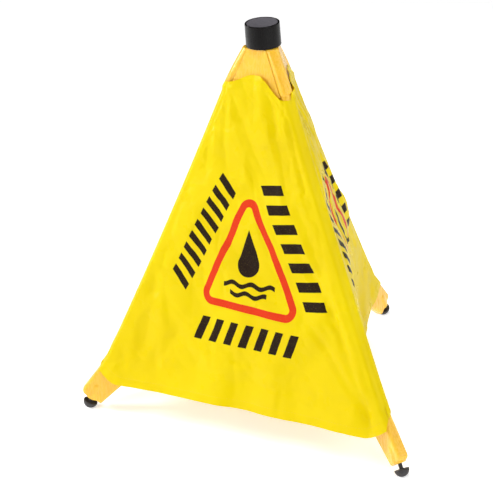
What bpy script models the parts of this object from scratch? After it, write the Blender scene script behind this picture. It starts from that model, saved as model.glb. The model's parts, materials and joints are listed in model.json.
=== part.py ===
"""Pop-up wet floor cone: three spring-loaded legs hinged in a hub, dressed in a three-sided fabric cover.

Frame: metres, +Z up, origin on the floor under the middle of the bounding box, front panel facing -Y.
A leg is drawn in its own frame: origin on its hinge axis, +X square to the shaft and outward, +Y along
the hinge axis, and -Z down the shaft. "Depth" below is the distance down the shaft from the hinge.
"""

import math

import bmesh
import bpy
from mathutils import Matrix, Vector

# ---------------------------------------------------------------- driving dimensions (metres, degrees)
HEIGHT = 0.508                  # floor to the rim of the cap
AXIS_Y = -0.0638                # the cone's axis, measured from the middle of the bounding box
LEG_AZIMUTHS = {"left": 210.0, "right": 330.0, "rear": 90.0}
PANEL_AZIMUTHS = {"front": 270.0, "right": 30.0, "left": 150.0}

PIVOT_RADIUS = 0.0107           # hinge axis from the cone's axis
PIVOT_HEIGHT = 0.488            # hinge axis above the floor

SHOE_END = 0.5345               # depth of a shoe's end face
FOOT_OFFSET = 0.0088            # foot's axis in front of the hinge axis
FOOT_STANDOFFS = {"left": 0.0055, "right": 0.0080, "rear": 0.0055}
DOME_RADIUS = 0.0095
DOME_FLAT = 0.0020              # radius of the worn flat that meets the floor
STEM_RADIUS = 0.0026
PLUG_RADIUS = 0.0050
PLUG_TOP = 0.0155               # plug's top and underside, above the dome's flat back
PLUG_BOTTOM = 0.0095
PLUG_TAPER = 0.0014
PLUG_TAPER_LENGTH = 0.0018
STEM_FLARE = 0.0008

CAP_RADIUS = 0.0215             # at the top; the skirt is slightly wider at its rim
CAP_SKIRT_RADIUS = 0.0218
CAP_BOTTOM = 0.4793
CAP_BORE = 0.0198
CAP_CEILING = 0.5025            # underside of the cap's top plate
DISC_RECESS = 0.5062            # floor of the recess that holds the disc
DISC_RADIUS = 0.0193
SCREW_RADIUS = 0.0015
SCREW_HEAD_RADIUS = 0.0032
SCREW_HEAD_SLOPE = 0.0008
SCREW_SEAT = 0.5044              # floor of the head's counterbore
SCREW_SHANK_END = 0.4935
SCREW_TIP = 0.4915
CAP_ROUNDING = 0.0012
COUNTERBORE_GAP = 0.0004
DISC_CHAMFER = 0.0004

CORE_RADIUS = 0.0190            # hub core, inside the cap
CORE_BOTTOM = 0.4800
CORE_TOP = 0.5022
CORE_CHAMFER = 0.0010
PILOT_BOTTOM = 0.4900            # end of the screw's hole in the core
SLOT_HALF = 0.0044              # half width of a hinge slot
SLOT_INNER = 0.0052             # where a slot starts, from the cone's axis
SLOT_OUTER = 0.0300
SLOT_TOP = 0.4965
PIN_RADIUS = 0.00125
PIN_HOLE_RADIUS = 0.0016
PIN_HALF_LENGTH = 0.0130

APRON_TOP = 0.4788
APRON_BOTTOM = 0.4250
APRON_THICKNESS = 0.0022
APRON_GAP = 0.0005               # between an apron and the cover
APRON_CLEARANCE = 0.0085        # apron's edge from a leg's middle plane

NECK_TIP = 0.0112                # wedges between the slots, from the cone's axis
NECK_ROOT = 0.0168
NECK_HALF = 0.0090
NECK_BOTTOM = 0.4700
NECK_TOP = 0.4830

WALL = 0.0020
SHAFT_HALF = 0.0078             # half width of the shaft
SHAFT_NOSE = 0.0060             # depth of its rounded nose
SHAFT_FACE = 0.0107             # its outer face in front of the hinge axis
SHAFT_DEPTH = 0.0137            # nose to the open back of the channel
SHAFT_START = 0.0720            # depth where the shaft leaves the thicker shoulder
SHAFT_END = 0.4520
SHAFT_BOW = 0.0022              # the shaft bows inward at mid length
SHOULDER_TOP = 0.4788           # its top face, level, just under the cap's rim
SHOULDER_START = 0.0040         # depth where its section starts, before its top is cut level
SHOULDER_STEP = 0.0015           # length of the step down to the shaft
SHOULDER_FACE = 0.0088           # its outer face at the top
SHOULDER_SWELL = 0.0042          # how much further out the face is at the shaft
SHOULDER_SWELL_START = 0.0120
SHOULDER_HALF = 0.0082
SHOULDER_TAPER = 0.0002
SHOULDER_PLUG_DEPTHS = (0.004, 0.012, 0.020, 0.026)
SHOULDER_STEPS = 7
SHAFT_STEPS = 8
PLUG_INSET = 0.0005              # solid fillings stop short of the channel's outer faces
BACK_INSET = 0.0002
EAR_INNER = 0.0022
EAR_OUTER = 0.0040
EAR_RADIUS = 0.0042
EAR_STRAIGHT = 0.0060            # an ear's straight part, and its root in the shoulder
EAR_ROOT_DEPTH = 0.0180
EAR_ROOT_BACK = 0.0026
EAR_ROOT_FRONT = 0.0034
EAR_GAP_BACK = 0.0080            # gap between the ears
EAR_GAP_FRONT = 0.0030
EAR_GAP_DEPTH = 0.0300
EAR_GAP_TOP = 0.0100
LEG_CUT_HALF = 0.0100            # half length of the cutters that pass through a leg's sides
RIB_SPACING = 0.060
RIB_THICKNESS = 0.0018
RIB_FIRST = 0.0200               # first rib below the shoulder
RIB_LAST = 0.0300                # stretch without ribs above the spigot
RIB_BACK = 0.0115                # behind the shaft's outer face
RIB_FRONT = 0.0030
RIB_EMBED = 0.0010
END_PLUG_LENGTH = 0.0120
SPIGOT_HALF = 0.0050
SPIGOT_END = 0.4840
SPIGOT_BACK = 0.0125             # behind the shaft's outer face
SPIGOT_FRONT = 0.0024
SPIGOT_ROOT = 0.0040
CROSS_PIN_DEPTH = 0.4680
CROSS_PIN_RADIUS = 0.0015

SHOE_HALF = 0.0074
SHOE_EDGE = 0.0045              # rounding of the shoe's long edges
SHOE_FACE = 0.0112              # shoe's front and back at its top
SHOE_BACK = 0.0040
SHOE_KINK = 0.4700               # depth where its front kicks out
SHOE_END_TILT = 0.20             # slope of its end face, which is square to the kicked-out front
TOE_FACE = 0.0178                # centre of the rounded toe
TOE_DEPTH = 0.5259
TOE_RADIUS = 0.0067
SHOE_WEB = ((-0.0045, 0.5372), (-0.0220, 0.4985), (-0.0234, 0.4900), (-0.0200, 0.4780))    # face, depth
SOCKET_MARGIN = 0.0040           # how far the socket's cutter reaches out of the end face
BOSS_CHAMFER = 0.0010
BOSS_RADIUS = 0.0089
BOSS_TOP = 0.5165
SOCKET_RADIUS = 0.0055
SOCKET_DEPTH = 0.0150

SPRING_RADIUS = 0.0023          # mean radius of the torsion spring's coil
SPRING_WIRE = 0.0004
SPRING_TURNS = 3
SPRING_PITCH = 0.0010
SPRING_STEPS = 10                # points to a turn
SPRING_UPPER_ARM = (0.0055, 0.0028)          # heights of the arms' ends from the hinge axis
SPRING_LOWER_ARM = (-0.0035, -0.0230)

CLOTH = 0.0009                  # thickness of the cover
PANEL_EDGE = 0.0084             # panel's edge from a leg's middle plane
PANEL_TOP = 0.4480
PANEL_SHOULDER = 0.4280         # height of the top edge where it meets a leg
PANEL_TOP_HALF = 0.0120         # half width of the level part of the top edge
PANEL_HEM = 0.0415
PANEL_MIDDLE = 0.2400
PANEL_SLACK = {"front": 0.0, "right": 0.024, "left": 0.010}      # how far in a panel hangs at its hem
PANEL_LOW_ROWS = (0.2000, 0.1600, 0.1200, 0.0800)
PANEL_COLUMNS = (1.0, 0.75, 0.4, 0.0, -0.4, -0.75, -1.0)
SLEEVE_START = 0.0745
SLEEVE_END = 0.4490
SLEEVE_ARC = 55.0               # how far the sleeve reaches round the nose, each way

CLEARANCE = 0.0003
EPS = 0.001                     # how far a cutter passes through a face

COLORS = {
    "hub": ((0.95, 0.52, 0.06, 1), 0.35),
    "cover": ((0.95, 0.76, 0.01, 1), 0.45),
    "cap": ((0.017, 0.015, 0.014, 1), 0.40),
    "disc": ((0.10, 0.09, 0.11, 1), 0.50),
    "rubber": ((0.045, 0.040, 0.040, 1), 0.70),
    "steel": ((0.60, 0.60, 0.62, 1), 0.30),
}


# ---------------------------------------------------------------- geometry of the stance
def dome_centre_height():
    """Height of a foot's centre when its flat lies on the floor."""
    return math.sqrt(DOME_RADIUS ** 2 - DOME_FLAT ** 2)


def splay(leg):
    """Angle of a leg from the vertical that puts its foot on the floor."""
    reach = SHOE_END + FOOT_STANDOFFS[leg]
    drop = PIVOT_HEIGHT - dome_centre_height()
    return math.acos(drop / math.hypot(reach, FOOT_OFFSET)) - math.atan2(FOOT_OFFSET, reach)


NOMINAL_SPLAY = splay("left")


def shaft_radius(z):
    """Distance of the straight shaft's outer face from the cone's axis, at height z."""
    face = SHAFT_FACE / math.cos(NOMINAL_SPLAY)
    return PIVOT_RADIUS + face + (PIVOT_HEIGHT - z) * math.tan(NOMINAL_SPLAY)


def panel_distance(z):
    """Distance of a panel's outer face from the cone's axis: tangent to the sleeves on its two legs."""
    half = SHAFT_HALF + CLEARANCE + CLOTH
    nose = SHAFT_NOSE + CLEARANCE + CLOTH
    centre = shaft_radius(z) - SHAFT_NOSE
    side = math.radians(60)
    return centre * math.cos(side) + math.hypot(nose * math.cos(side), half * math.sin(side))


def edge_half_width(distance, clearance):
    """Half width, at that distance from the axis, which stays clear of both neighbouring legs' planes."""
    return (distance * math.sin(math.radians(60)) - clearance) / math.cos(math.radians(60))


def shaft_face(depth):
    """Outer face of the bowed shaft in front of the hinge axis."""
    along = (depth - SHAFT_START) / (SHAFT_END - SHAFT_START)
    return SHAFT_FACE - SHAFT_BOW * 4 * along * (1 - along)


# ---------------------------------------------------------------- scene and object helpers
def clear_scene():
    for item in list(bpy.data.objects):
        bpy.data.objects.remove(item, do_unlink=True)


def material(name):
    made = bpy.data.materials.get(name)
    if made:
        return made
    color, roughness = COLORS[name]
    made = bpy.data.materials.new(name)
    made.use_nodes = True
    shader = made.node_tree.nodes["Principled BSDF"]
    shader.inputs["Base Color"].default_value = color
    shader.inputs["Roughness"].default_value = roughness
    shader.inputs["Metallic"].default_value = 1.0 if name == "steel" else 0.0
    return made


def add_object(name, mesh, parent=None, finish="hub"):
    mesh.materials.append(material(finish))
    mesh.shade_smooth()
    mesh.set_sharp_from_angle(angle=math.radians(35))
    made = bpy.data.objects.new(name, mesh)
    bpy.context.scene.collection.objects.link(made)
    made.parent = parent
    return made


def add_empty(name, location, rotation):
    made = bpy.data.objects.new(name, None)
    made.location = location
    made.rotation_euler = rotation
    bpy.context.scene.collection.objects.link(made)
    return made


def combine(target, tool, operation):
    """Boolean of a target with a hidden tool that shares its parent."""
    tool.hide_render = True
    tool.display_type = "WIRE"
    tool.parent = target.parent
    step = target.modifiers.new(operation.lower(), "BOOLEAN")
    step.operation = operation
    step.object = tool
    step.solver = "EXACT"
    return target


def mesh_from(bm, name):
    bmesh.ops.recalc_face_normals(bm, faces=bm.faces)
    mesh = bpy.data.meshes.new(name)
    bm.to_mesh(mesh)
    bm.free()
    return mesh


def loft_bmesh(rings):
    """Closed body through rings of equal length, capped at both ends."""
    bm = bmesh.new()
    made = [[bm.verts.new(point) for point in ring] for ring in rings]
    count = len(rings[0])
    for low, high in zip(made, made[1:]):
        for i in range(count):
            j = (i + 1) % count
            bm.faces.new((low[i], low[j], high[j], high[i]))
    bm.faces.new(made[0])
    bm.faces.new(made[-1])
    return bm


def loft(name, rings):
    return mesh_from(loft_bmesh(rings), name)


def box(name, low, high):
    """A box between two corners."""
    corners = [(low[0], low[1]), (high[0], low[1]), (high[0], high[1]), (low[0], high[1])]
    return loft(name, [[(x, y, z) for x, y in corners] for z in (low[2], high[2])])


def turned(name, profile, segments=32, offset=(0.0, 0.0)):
    """Solid turned about a vertical axis. The profile runs from its top to its bottom, both on the axis."""
    bm = bmesh.new()
    rings = []
    for radius, z in profile:
        if radius == 0:
            rings.append([bm.verts.new((offset[0], offset[1], z))])
            continue
        angles = [2 * math.pi * k / segments for k in range(segments)]
        rings.append([bm.verts.new((offset[0] + radius * math.cos(a), offset[1] + radius * math.sin(a), z))
                      for a in angles])
    for upper, lower in zip(rings, rings[1:]):
        for i in range(segments):
            j = (i + 1) % segments
            if len(upper) == 1:
                bm.faces.new((upper[0], lower[i], lower[j]))
            elif len(lower) == 1:
                bm.faces.new((upper[i], lower[0], upper[j]))
            else:
                bm.faces.new((upper[i], lower[i], lower[j], upper[j]))
    return mesh_from(bm, name)


def turned_ring(name, profile, segments=40):
    """Ring-shaped solid turned about the vertical axis from a closed profile."""
    bm = bmesh.new()
    rings = []
    for k in range(segments):
        a = 2 * math.pi * k / segments
        rings.append([bm.verts.new((r * math.cos(a), r * math.sin(a), z)) for r, z in profile])
    count = len(profile)
    for k in range(segments):
        here, after = rings[k], rings[(k + 1) % segments]
        for i in range(count):
            j = (i + 1) % count
            bm.faces.new((here[i], here[j], after[j], after[i]))
    return mesh_from(bm, name)


def rod(name, start, end, radius, segments=16):
    """Plain round bar between two points."""
    start, end = Vector(start), Vector(end)
    along = (end - start).normalized()
    across = along.orthogonal().normalized()
    other = along.cross(across)
    rings = []
    for point in (start, end):
        angles = [2 * math.pi * k / segments for k in range(segments)]
        rings.append([point + radius * (math.cos(a) * across + math.sin(a) * other) for a in angles])
    return loft(name, rings)


def tube(name, points, radius, sides=8):
    """Wire of round section along a path, its frame carried along without twist."""
    points = [Vector(p) for p in points]
    rings = []
    across = None
    for i, point in enumerate(points):
        before = points[max(i - 1, 0)]
        after = points[min(i + 1, len(points) - 1)]
        along = (after - before).normalized()
        across = along.orthogonal() if across is None else across - along * across.dot(along)
        across.normalize()
        other = along.cross(across)
        angles = [2 * math.pi * k / sides for k in range(sides)]
        rings.append([point + radius * (math.cos(a) * across + math.sin(a) * other) for a in angles])
    return loft(name, rings)


def extrude_profile(name, outline, low, high):
    """Plate with an (x, z) outline, from y = low to y = high."""
    return loft(name, [[(x, y, z) for x, z in outline] for y in (low, high)])


def arc(centre, radius, start, end, steps):
    """Points on an arc in a plane, angles in degrees."""
    points = []
    for k in range(steps + 1):
        a = math.radians(start + (end - start) * k / steps)
        points.append((centre[0] + radius * math.cos(a), centre[1] + radius * math.sin(a)))
    return points


def joined(name, meshes):
    """One mesh that holds several separate bodies, for use as a Boolean tool."""
    bm = bmesh.new()
    for mesh in meshes:
        bm.from_mesh(mesh)
    return mesh_from(bm, name)


# ---------------------------------------------------------------- sections of a leg
def nose_points(face, half, nose, arc_degrees=90.0, steps=8):
    """Half-elliptical nose from -Y to +Y, its tip at x = face."""
    points = []
    for k in range(steps + 1):
        a = math.radians(-arc_degrees + 2 * arc_degrees * k / steps)
        points.append((face - nose + nose * math.cos(a), half * math.sin(a)))
    return points


def channel_ring(depth, face, half, back, wall=WALL):
    """Closed outline of a U channel that is open at its back."""
    outer = [(back, -half)] + nose_points(face, half, SHAFT_NOSE) + [(back, half)]
    inner = [(back, half - wall)]
    inner += reversed(nose_points(face - wall, half - wall, SHAFT_NOSE - wall))
    inner += [(back, -half + wall)]
    return [(x, y, -depth) for x, y in outer + inner]


def solid_ring(depth, face, half, back):
    outline = [(back, -half)] + nose_points(face, half, SHAFT_NOSE) + [(back, half)]
    return [(x, y, -depth) for x, y in outline]


def shoulder_size(depth):
    """Outer face and half width of the shoulder, which swells from the cap's rim to the shaft."""
    along = (depth - SHOULDER_SWELL_START) / (SHAFT_START - SHOULDER_SWELL_START)
    along = min(max(along, 0.0), 1.0)
    swell = math.sin(along * math.pi / 2)
    return SHOULDER_FACE + SHOULDER_SWELL * swell, SHOULDER_HALF - SHOULDER_TAPER * along


def shoulder_back():
    return SHAFT_FACE - SHAFT_DEPTH


def leg_channel():
    rings = []
    shoulder_length = SHAFT_START - SHOULDER_STEP - SHOULDER_START
    for k in range(SHOULDER_STEPS + 1):
        depth = SHOULDER_START + shoulder_length * k / SHOULDER_STEPS
        face, half = shoulder_size(depth)
        rings.append(channel_ring(depth, face, half, shoulder_back()))
    for k in range(SHAFT_STEPS + 1):
        depth = SHAFT_START + (SHAFT_END - SHAFT_START) * k / SHAFT_STEPS
        face = shaft_face(depth)
        rings.append(channel_ring(depth, face, SHAFT_HALF, face - SHAFT_DEPTH))
    return trimmed_top(loft_bmesh(rings), "leg")


def trimmed_top(bm, name):
    """Cuts a leg's body with the level plane of the shoulder's top."""
    up = Vector((math.sin(NOMINAL_SPLAY), 0, math.cos(NOMINAL_SPLAY)))
    point = up * (SHOULDER_TOP - PIVOT_HEIGHT)
    geometry = bm.verts[:] + bm.edges[:] + bm.faces[:]
    cut = bmesh.ops.bisect_plane(bm, geom=geometry, plane_co=point, plane_no=up, clear_outer=True)
    edges = [item for item in cut["geom_cut"] if isinstance(item, bmesh.types.BMEdge)]
    bmesh.ops.contextual_create(bm, geom=edges)
    return mesh_from(bm, name)


def shoulder_plug():
    """Solid head of the shoulder, which carries the hinge ears."""
    rings = []
    for depth in SHOULDER_PLUG_DEPTHS:
        face, half = shoulder_size(depth)
        rings.append(solid_ring(depth, face - PLUG_INSET, half - PLUG_INSET, shoulder_back() + BACK_INSET))
    return trimmed_top(loft_bmesh(rings), "shoulder_plug")


def ear_outline():
    outline = arc((0, 0), EAR_RADIUS, 0, 180, 12)
    outline += [(-EAR_RADIUS, -EAR_STRAIGHT), (-EAR_ROOT_BACK, -EAR_ROOT_DEPTH),
                (EAR_ROOT_FRONT, -EAR_ROOT_DEPTH), (EAR_ROOT_FRONT, -EAR_STRAIGHT)]
    return outline


def leg_ribs():
    """Cross walls that stiffen the channel."""
    ribs = []
    depth = SHAFT_START + RIB_FIRST
    while depth < SHAFT_END - RIB_LAST:
        face = shaft_face(depth)
        low = (face - RIB_BACK, -SHAFT_HALF + RIB_EMBED, -depth - RIB_THICKNESS)
        high = (face - RIB_FRONT, SHAFT_HALF - RIB_EMBED, -depth)
        ribs.append(box("rib", low, high))
        depth += RIB_SPACING
    return joined("ribs", ribs)


def end_plug():
    rings = []
    for depth in (SHAFT_END - END_PLUG_LENGTH, SHAFT_END - BACK_INSET):
        face = shaft_face(depth)
        back = face - SHAFT_DEPTH + BACK_INSET
        rings.append(solid_ring(depth, face - PLUG_INSET, SHAFT_HALF - PLUG_INSET, back))
    return loft("end_plug", rings)


def spigot():
    low = (SHAFT_FACE - SPIGOT_BACK, -SPIGOT_HALF, -SPIGOT_END)
    high = (SHAFT_FACE - SPIGOT_FRONT, SPIGOT_HALF, -SHAFT_END + SPIGOT_ROOT)
    return box("spigot", low, high)


def cross_bore(radius, depth, half):
    """Cutter for a round hole through a leg from side to side."""
    return rod("bore", (spigot_centre(), -half, -depth), (spigot_centre(), half, -depth), radius)


def spigot_centre():
    return SHAFT_FACE - (SPIGOT_BACK + SPIGOT_FRONT) / 2


# ---------------------------------------------------------------- sub-parts of a leg
def make_leg(side, hinge):
    leg = add_object("leg_" + side, leg_channel(), hinge, "hub")
    ears = [extrude_profile("ear", ear_outline(), s * EAR_INNER, s * EAR_OUTER) for s in (-1, 1)]
    parts = [shoulder_plug(), joined("ears", ears), leg_ribs(), end_plug(), spigot()]
    for number, part in enumerate(parts):
        tool = add_object(f"leg_{side}_add_{number}", part, hinge)
        combine(leg, tool, "UNION")
    gap = box("gap", (-EAR_GAP_BACK, -EAR_INNER, -EAR_GAP_DEPTH), (EAR_GAP_FRONT, EAR_INNER, EAR_GAP_TOP))
    hole = rod("hole", (0, -LEG_CUT_HALF, 0), (0, LEG_CUT_HALF, 0), PIN_HOLE_RADIUS)
    cross = cross_bore(CROSS_PIN_RADIUS + CLEARANCE, CROSS_PIN_DEPTH, LEG_CUT_HALF)
    for number, part in enumerate((gap, hole, cross)):
        tool = add_object(f"leg_{side}_cut_{number}", part, hinge)
        combine(leg, tool, "DIFFERENCE")
    return leg


def shoe_outline():
    """Side view of the kicked-out shoe: front edge, rounded toe, end face, and the deep web behind."""
    tilt = math.degrees(math.atan(SHOE_END_TILT))
    toe = arc((TOE_FACE, -TOE_DEPTH), TOE_RADIUS, 15, tilt - 90, 5)
    front = [(SHOE_FACE, -SHAFT_END - CLEARANCE), (SHOE_FACE, -SHOE_KINK)]
    back = [(x, -depth) for x, depth in SHOE_WEB] + [(-SHOE_BACK, -SHAFT_END - CLEARANCE)]
    return front + toe + back


def inset_outline(outline, amount):
    """An outline moved inward by that amount."""
    centre = Vector((sum(p[0] for p in outline), sum(p[1] for p in outline))) / len(outline)
    count = len(outline)
    moved = []
    for i in range(count):
        here = Vector(outline[i])
        before = (here - Vector(outline[i - 1])).normalized()
        after = (Vector(outline[(i + 1) % count]) - here).normalized()
        normals = []
        for run in (before, after):
            normal = Vector((run.y, -run.x))
            normals.append(normal if normal.dot(centre - here) > 0 else -normal)
        middle = (normals[0] + normals[1]).normalized()
        moved.append(here + middle * amount / max(middle.dot(normals[0]), 0.3))
    return moved


def shoe_blade():
    rings = []
    for sign, angles in ((-1, (90, 60, 30, 0)), (1, (0, 30, 60, 90))):
        for degrees in angles:
            a = math.radians(degrees)
            y = sign * (SHOE_HALF - SHOE_EDGE + SHOE_EDGE * math.sin(a))
            outline = inset_outline(shoe_outline(), SHOE_EDGE * (1 - math.cos(a)))
            rings.append([(x, y, z) for x, z in outline])
    return loft("shoe", rings)


def shoe_boss():
    """Round boss about the foot's socket, with a domed top."""
    profile = [(0, -BOSS_TOP + BOSS_RADIUS)]
    profile += [(BOSS_RADIUS * math.sin(a), -BOSS_TOP + BOSS_RADIUS * math.cos(a))
                for a in (math.radians(d) for d in (22.5, 45, 67.5, 90))]
    profile += [(BOSS_RADIUS, -SHOE_END + BOSS_CHAMFER), (BOSS_RADIUS - BOSS_CHAMFER, -SHOE_END),
                (0, -SHOE_END)]
    return turned("boss", profile, 32, (FOOT_OFFSET, 0))


def make_shoe(side, hinge):
    shoe = add_object("shoe_" + side, shoe_blade(), hinge, "hub")
    combine(shoe, add_object(f"shoe_{side}_boss", shoe_boss(), hinge), "UNION")
    low = (SHAFT_FACE - SPIGOT_BACK - CLEARANCE, -SPIGOT_HALF - CLEARANCE, -SPIGOT_END - 2 * CLEARANCE)
    high = (SHAFT_FACE - SPIGOT_FRONT + CLEARANCE, SPIGOT_HALF + CLEARANCE, -SHAFT_END + EPS)
    pocket = box("pocket", low, high)
    socket = turned("socket", [(0, -SHOE_END + SOCKET_DEPTH), (SOCKET_RADIUS, -SHOE_END + SOCKET_DEPTH),
                               (SOCKET_RADIUS, -SHOE_END - SOCKET_MARGIN), (0, -SHOE_END - SOCKET_MARGIN)],
                    24, (FOOT_OFFSET, 0))
    cross = cross_bore(CROSS_PIN_RADIUS + CLEARANCE, CROSS_PIN_DEPTH, SHOE_HALF + EPS)
    for number, part in enumerate((pocket, socket, cross)):
        tool = add_object(f"shoe_{side}_cut_{number}", part, hinge)
        combine(shoe, tool, "DIFFERENCE")
    return shoe


def make_foot(side, hinge):
    """Mushroom foot: a plug in the shoe's socket, a stem, and a dome flattened where it meets the floor."""
    back = -(SHOE_END + FOOT_STANDOFFS[side])
    profile = [(0, back + PLUG_TOP), (PLUG_RADIUS - PLUG_TAPER, back + PLUG_TOP),
               (PLUG_RADIUS, back + PLUG_TOP - PLUG_TAPER_LENGTH), (PLUG_RADIUS, back + PLUG_BOTTOM),
               (STEM_RADIUS, back + PLUG_BOTTOM), (STEM_RADIUS, back + STEM_FLARE),
               (STEM_RADIUS + STEM_FLARE, back), (DOME_RADIUS, back)]
    for degrees in (15, 30, 45, 60, 75):
        a = math.radians(degrees)
        profile.append((DOME_RADIUS * math.cos(a), back - DOME_RADIUS * math.sin(a)))
    profile.append((0, back - DOME_RADIUS))
    mesh = turned("foot", profile, 20, (FOOT_OFFSET, 0))
    angle = splay(side)
    down = Vector((-math.sin(angle), 0, -math.cos(angle)))
    bm = bmesh.new()
    bm.from_mesh(mesh)
    geometry = bm.verts[:] + bm.edges[:] + bm.faces[:]
    cut = bmesh.ops.bisect_plane(bm, geom=geometry, plane_co=down * PIVOT_HEIGHT, plane_no=down,
                                 clear_outer=True)
    edges = [item for item in cut["geom_cut"] if isinstance(item, bmesh.types.BMEdge)]
    bmesh.ops.contextual_create(bm, geom=edges)
    return add_object("foot_" + side, mesh_from(bm, "foot_" + side), hinge, "rubber")


def make_shoe_pin(side, hinge):
    """Cross pin that holds the shoe on the shaft's spigot."""
    half = SHOE_HALF - 0.0004
    mesh = rod("shoe_pin", (spigot_centre(), -half, -CROSS_PIN_DEPTH),
               (spigot_centre(), half, -CROSS_PIN_DEPTH), CROSS_PIN_RADIUS, 12)
    return add_object("shoe_pin_" + side, mesh, hinge, "steel")


def make_spring(side, hinge):
    """Torsion spring about the hinge pin: one arm down the leg, one short arm up into the hub's slot."""
    half = SPRING_TURNS * SPRING_PITCH / 2
    steps = SPRING_STEPS * SPRING_TURNS + SPRING_STEPS // 2
    points = [(SPRING_RADIUS, -half, z) for z in SPRING_UPPER_ARM]
    for k in range(steps + 1):
        a = 2 * math.pi * k / SPRING_STEPS
        y = -half + 2 * half * k / steps
        points.append((SPRING_RADIUS * math.cos(a), y, -SPRING_RADIUS * math.sin(a)))
    points += [(-SPRING_RADIUS, half, z) for z in SPRING_LOWER_ARM]
    return add_object("spring_" + side, tube("spring", points, SPRING_WIRE, 6), hinge, "steel")


def make_sleeve(side, hinge):
    """The cover's pocket over a leg's nose, a curved strip that follows the bowed shaft."""
    rings = []
    for k in range(SHAFT_STEPS + 1):
        depth = SLEEVE_START + (SLEEVE_END - SLEEVE_START) * k / SHAFT_STEPS
        face = shaft_face(depth)
        lining = nose_points(face + CLEARANCE, SHAFT_HALF + CLEARANCE, SHAFT_NOSE + CLEARANCE, SLEEVE_ARC)
        thick = CLEARANCE + CLOTH
        skin = nose_points(face + thick, SHAFT_HALF + thick, SHAFT_NOSE + thick, SLEEVE_ARC)
        rings.append([(x, y, -depth) for x, y in skin + lining[::-1]])
    return add_object("sleeve_" + side, loft("sleeve", rings), hinge, "cover")


# ---------------------------------------------------------------- hub, cap and cover
def around(azimuth):
    """Turns a piece drawn along +X to that azimuth about the cone's axis."""
    return Matrix.Rotation(math.radians(azimuth), 4, "Z")


def turned_to(mesh, azimuth):
    mesh.transform(around(azimuth))
    return mesh


def apron():
    """Sloping plate in a panel's plane, drawn towards +X."""
    rings = []
    for z in (APRON_TOP, APRON_BOTTOM):
        outer = panel_distance(z) - CLOTH - APRON_GAP
        inner = outer - APRON_THICKNESS
        half = edge_half_width(outer, APRON_CLEARANCE)
        inner_half = edge_half_width(inner, APRON_CLEARANCE)
        rings.append([(outer, -half, z), (outer, half, z), (inner, inner_half, z), (inner, -inner_half, z)])
    return loft("apron", rings)


def neck():
    """Wedge between two hinge slots that joins an apron to the core."""
    outline = [(NECK_TIP, 0.0), (NECK_ROOT, -NECK_HALF), (NECK_ROOT, NECK_HALF)]
    return loft("neck", [[(x, y, z) for x, y in outline] for z in (NECK_BOTTOM, NECK_TOP)])


def make_hub(centre):
    core = turned("hub", [(0, CORE_TOP), (CORE_RADIUS - CORE_CHAMFER, CORE_TOP),
                          (CORE_RADIUS, CORE_TOP - CORE_CHAMFER), (CORE_RADIUS, CORE_BOTTOM),
                          (0, CORE_BOTTOM)], 48)
    hub = add_object("hub", core, centre, "hub")
    additions = []
    for azimuth in PANEL_AZIMUTHS.values():
        additions.append(("neck", turned_to(neck(), azimuth)))
        additions.append(("apron", turned_to(apron(), azimuth)))
    for number, (name, part) in enumerate(additions):
        combine(hub, add_object(f"hub_{name}_{number}", part, centre), "UNION")
    for side, azimuth in LEG_AZIMUTHS.items():
        slot = box("slot", (SLOT_INNER, -SLOT_HALF, CORE_BOTTOM - EPS), (SLOT_OUTER, SLOT_HALF, SLOT_TOP))
        bore = rod("bore", (PIVOT_RADIUS, -CORE_RADIUS, PIVOT_HEIGHT),
                   (PIVOT_RADIUS, CORE_RADIUS, PIVOT_HEIGHT), PIN_HOLE_RADIUS)
        for name, part in (("slot", slot), ("bore", bore)):
            tool = add_object(f"hub_{name}_{side}", turned_to(part, azimuth), centre)
            combine(hub, tool, "DIFFERENCE")
    pilot = turned("pilot", [(0, CORE_TOP + EPS), (SCREW_RADIUS + CLEARANCE, CORE_TOP + EPS),
                             (SCREW_RADIUS + CLEARANCE, PILOT_BOTTOM), (0, PILOT_BOTTOM)], 16)
    combine(hub, add_object("hub_pilot", pilot, centre), "DIFFERENCE")
    return hub


def make_pins(centre):
    for side, azimuth in LEG_AZIMUTHS.items():
        pin = rod("hinge_pin", (PIVOT_RADIUS, -PIN_HALF_LENGTH, PIVOT_HEIGHT),
                  (PIVOT_RADIUS, PIN_HALF_LENGTH, PIVOT_HEIGHT), PIN_RADIUS)
        add_object("hinge_pin_" + side, turned_to(pin, azimuth), centre, "steel")


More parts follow.
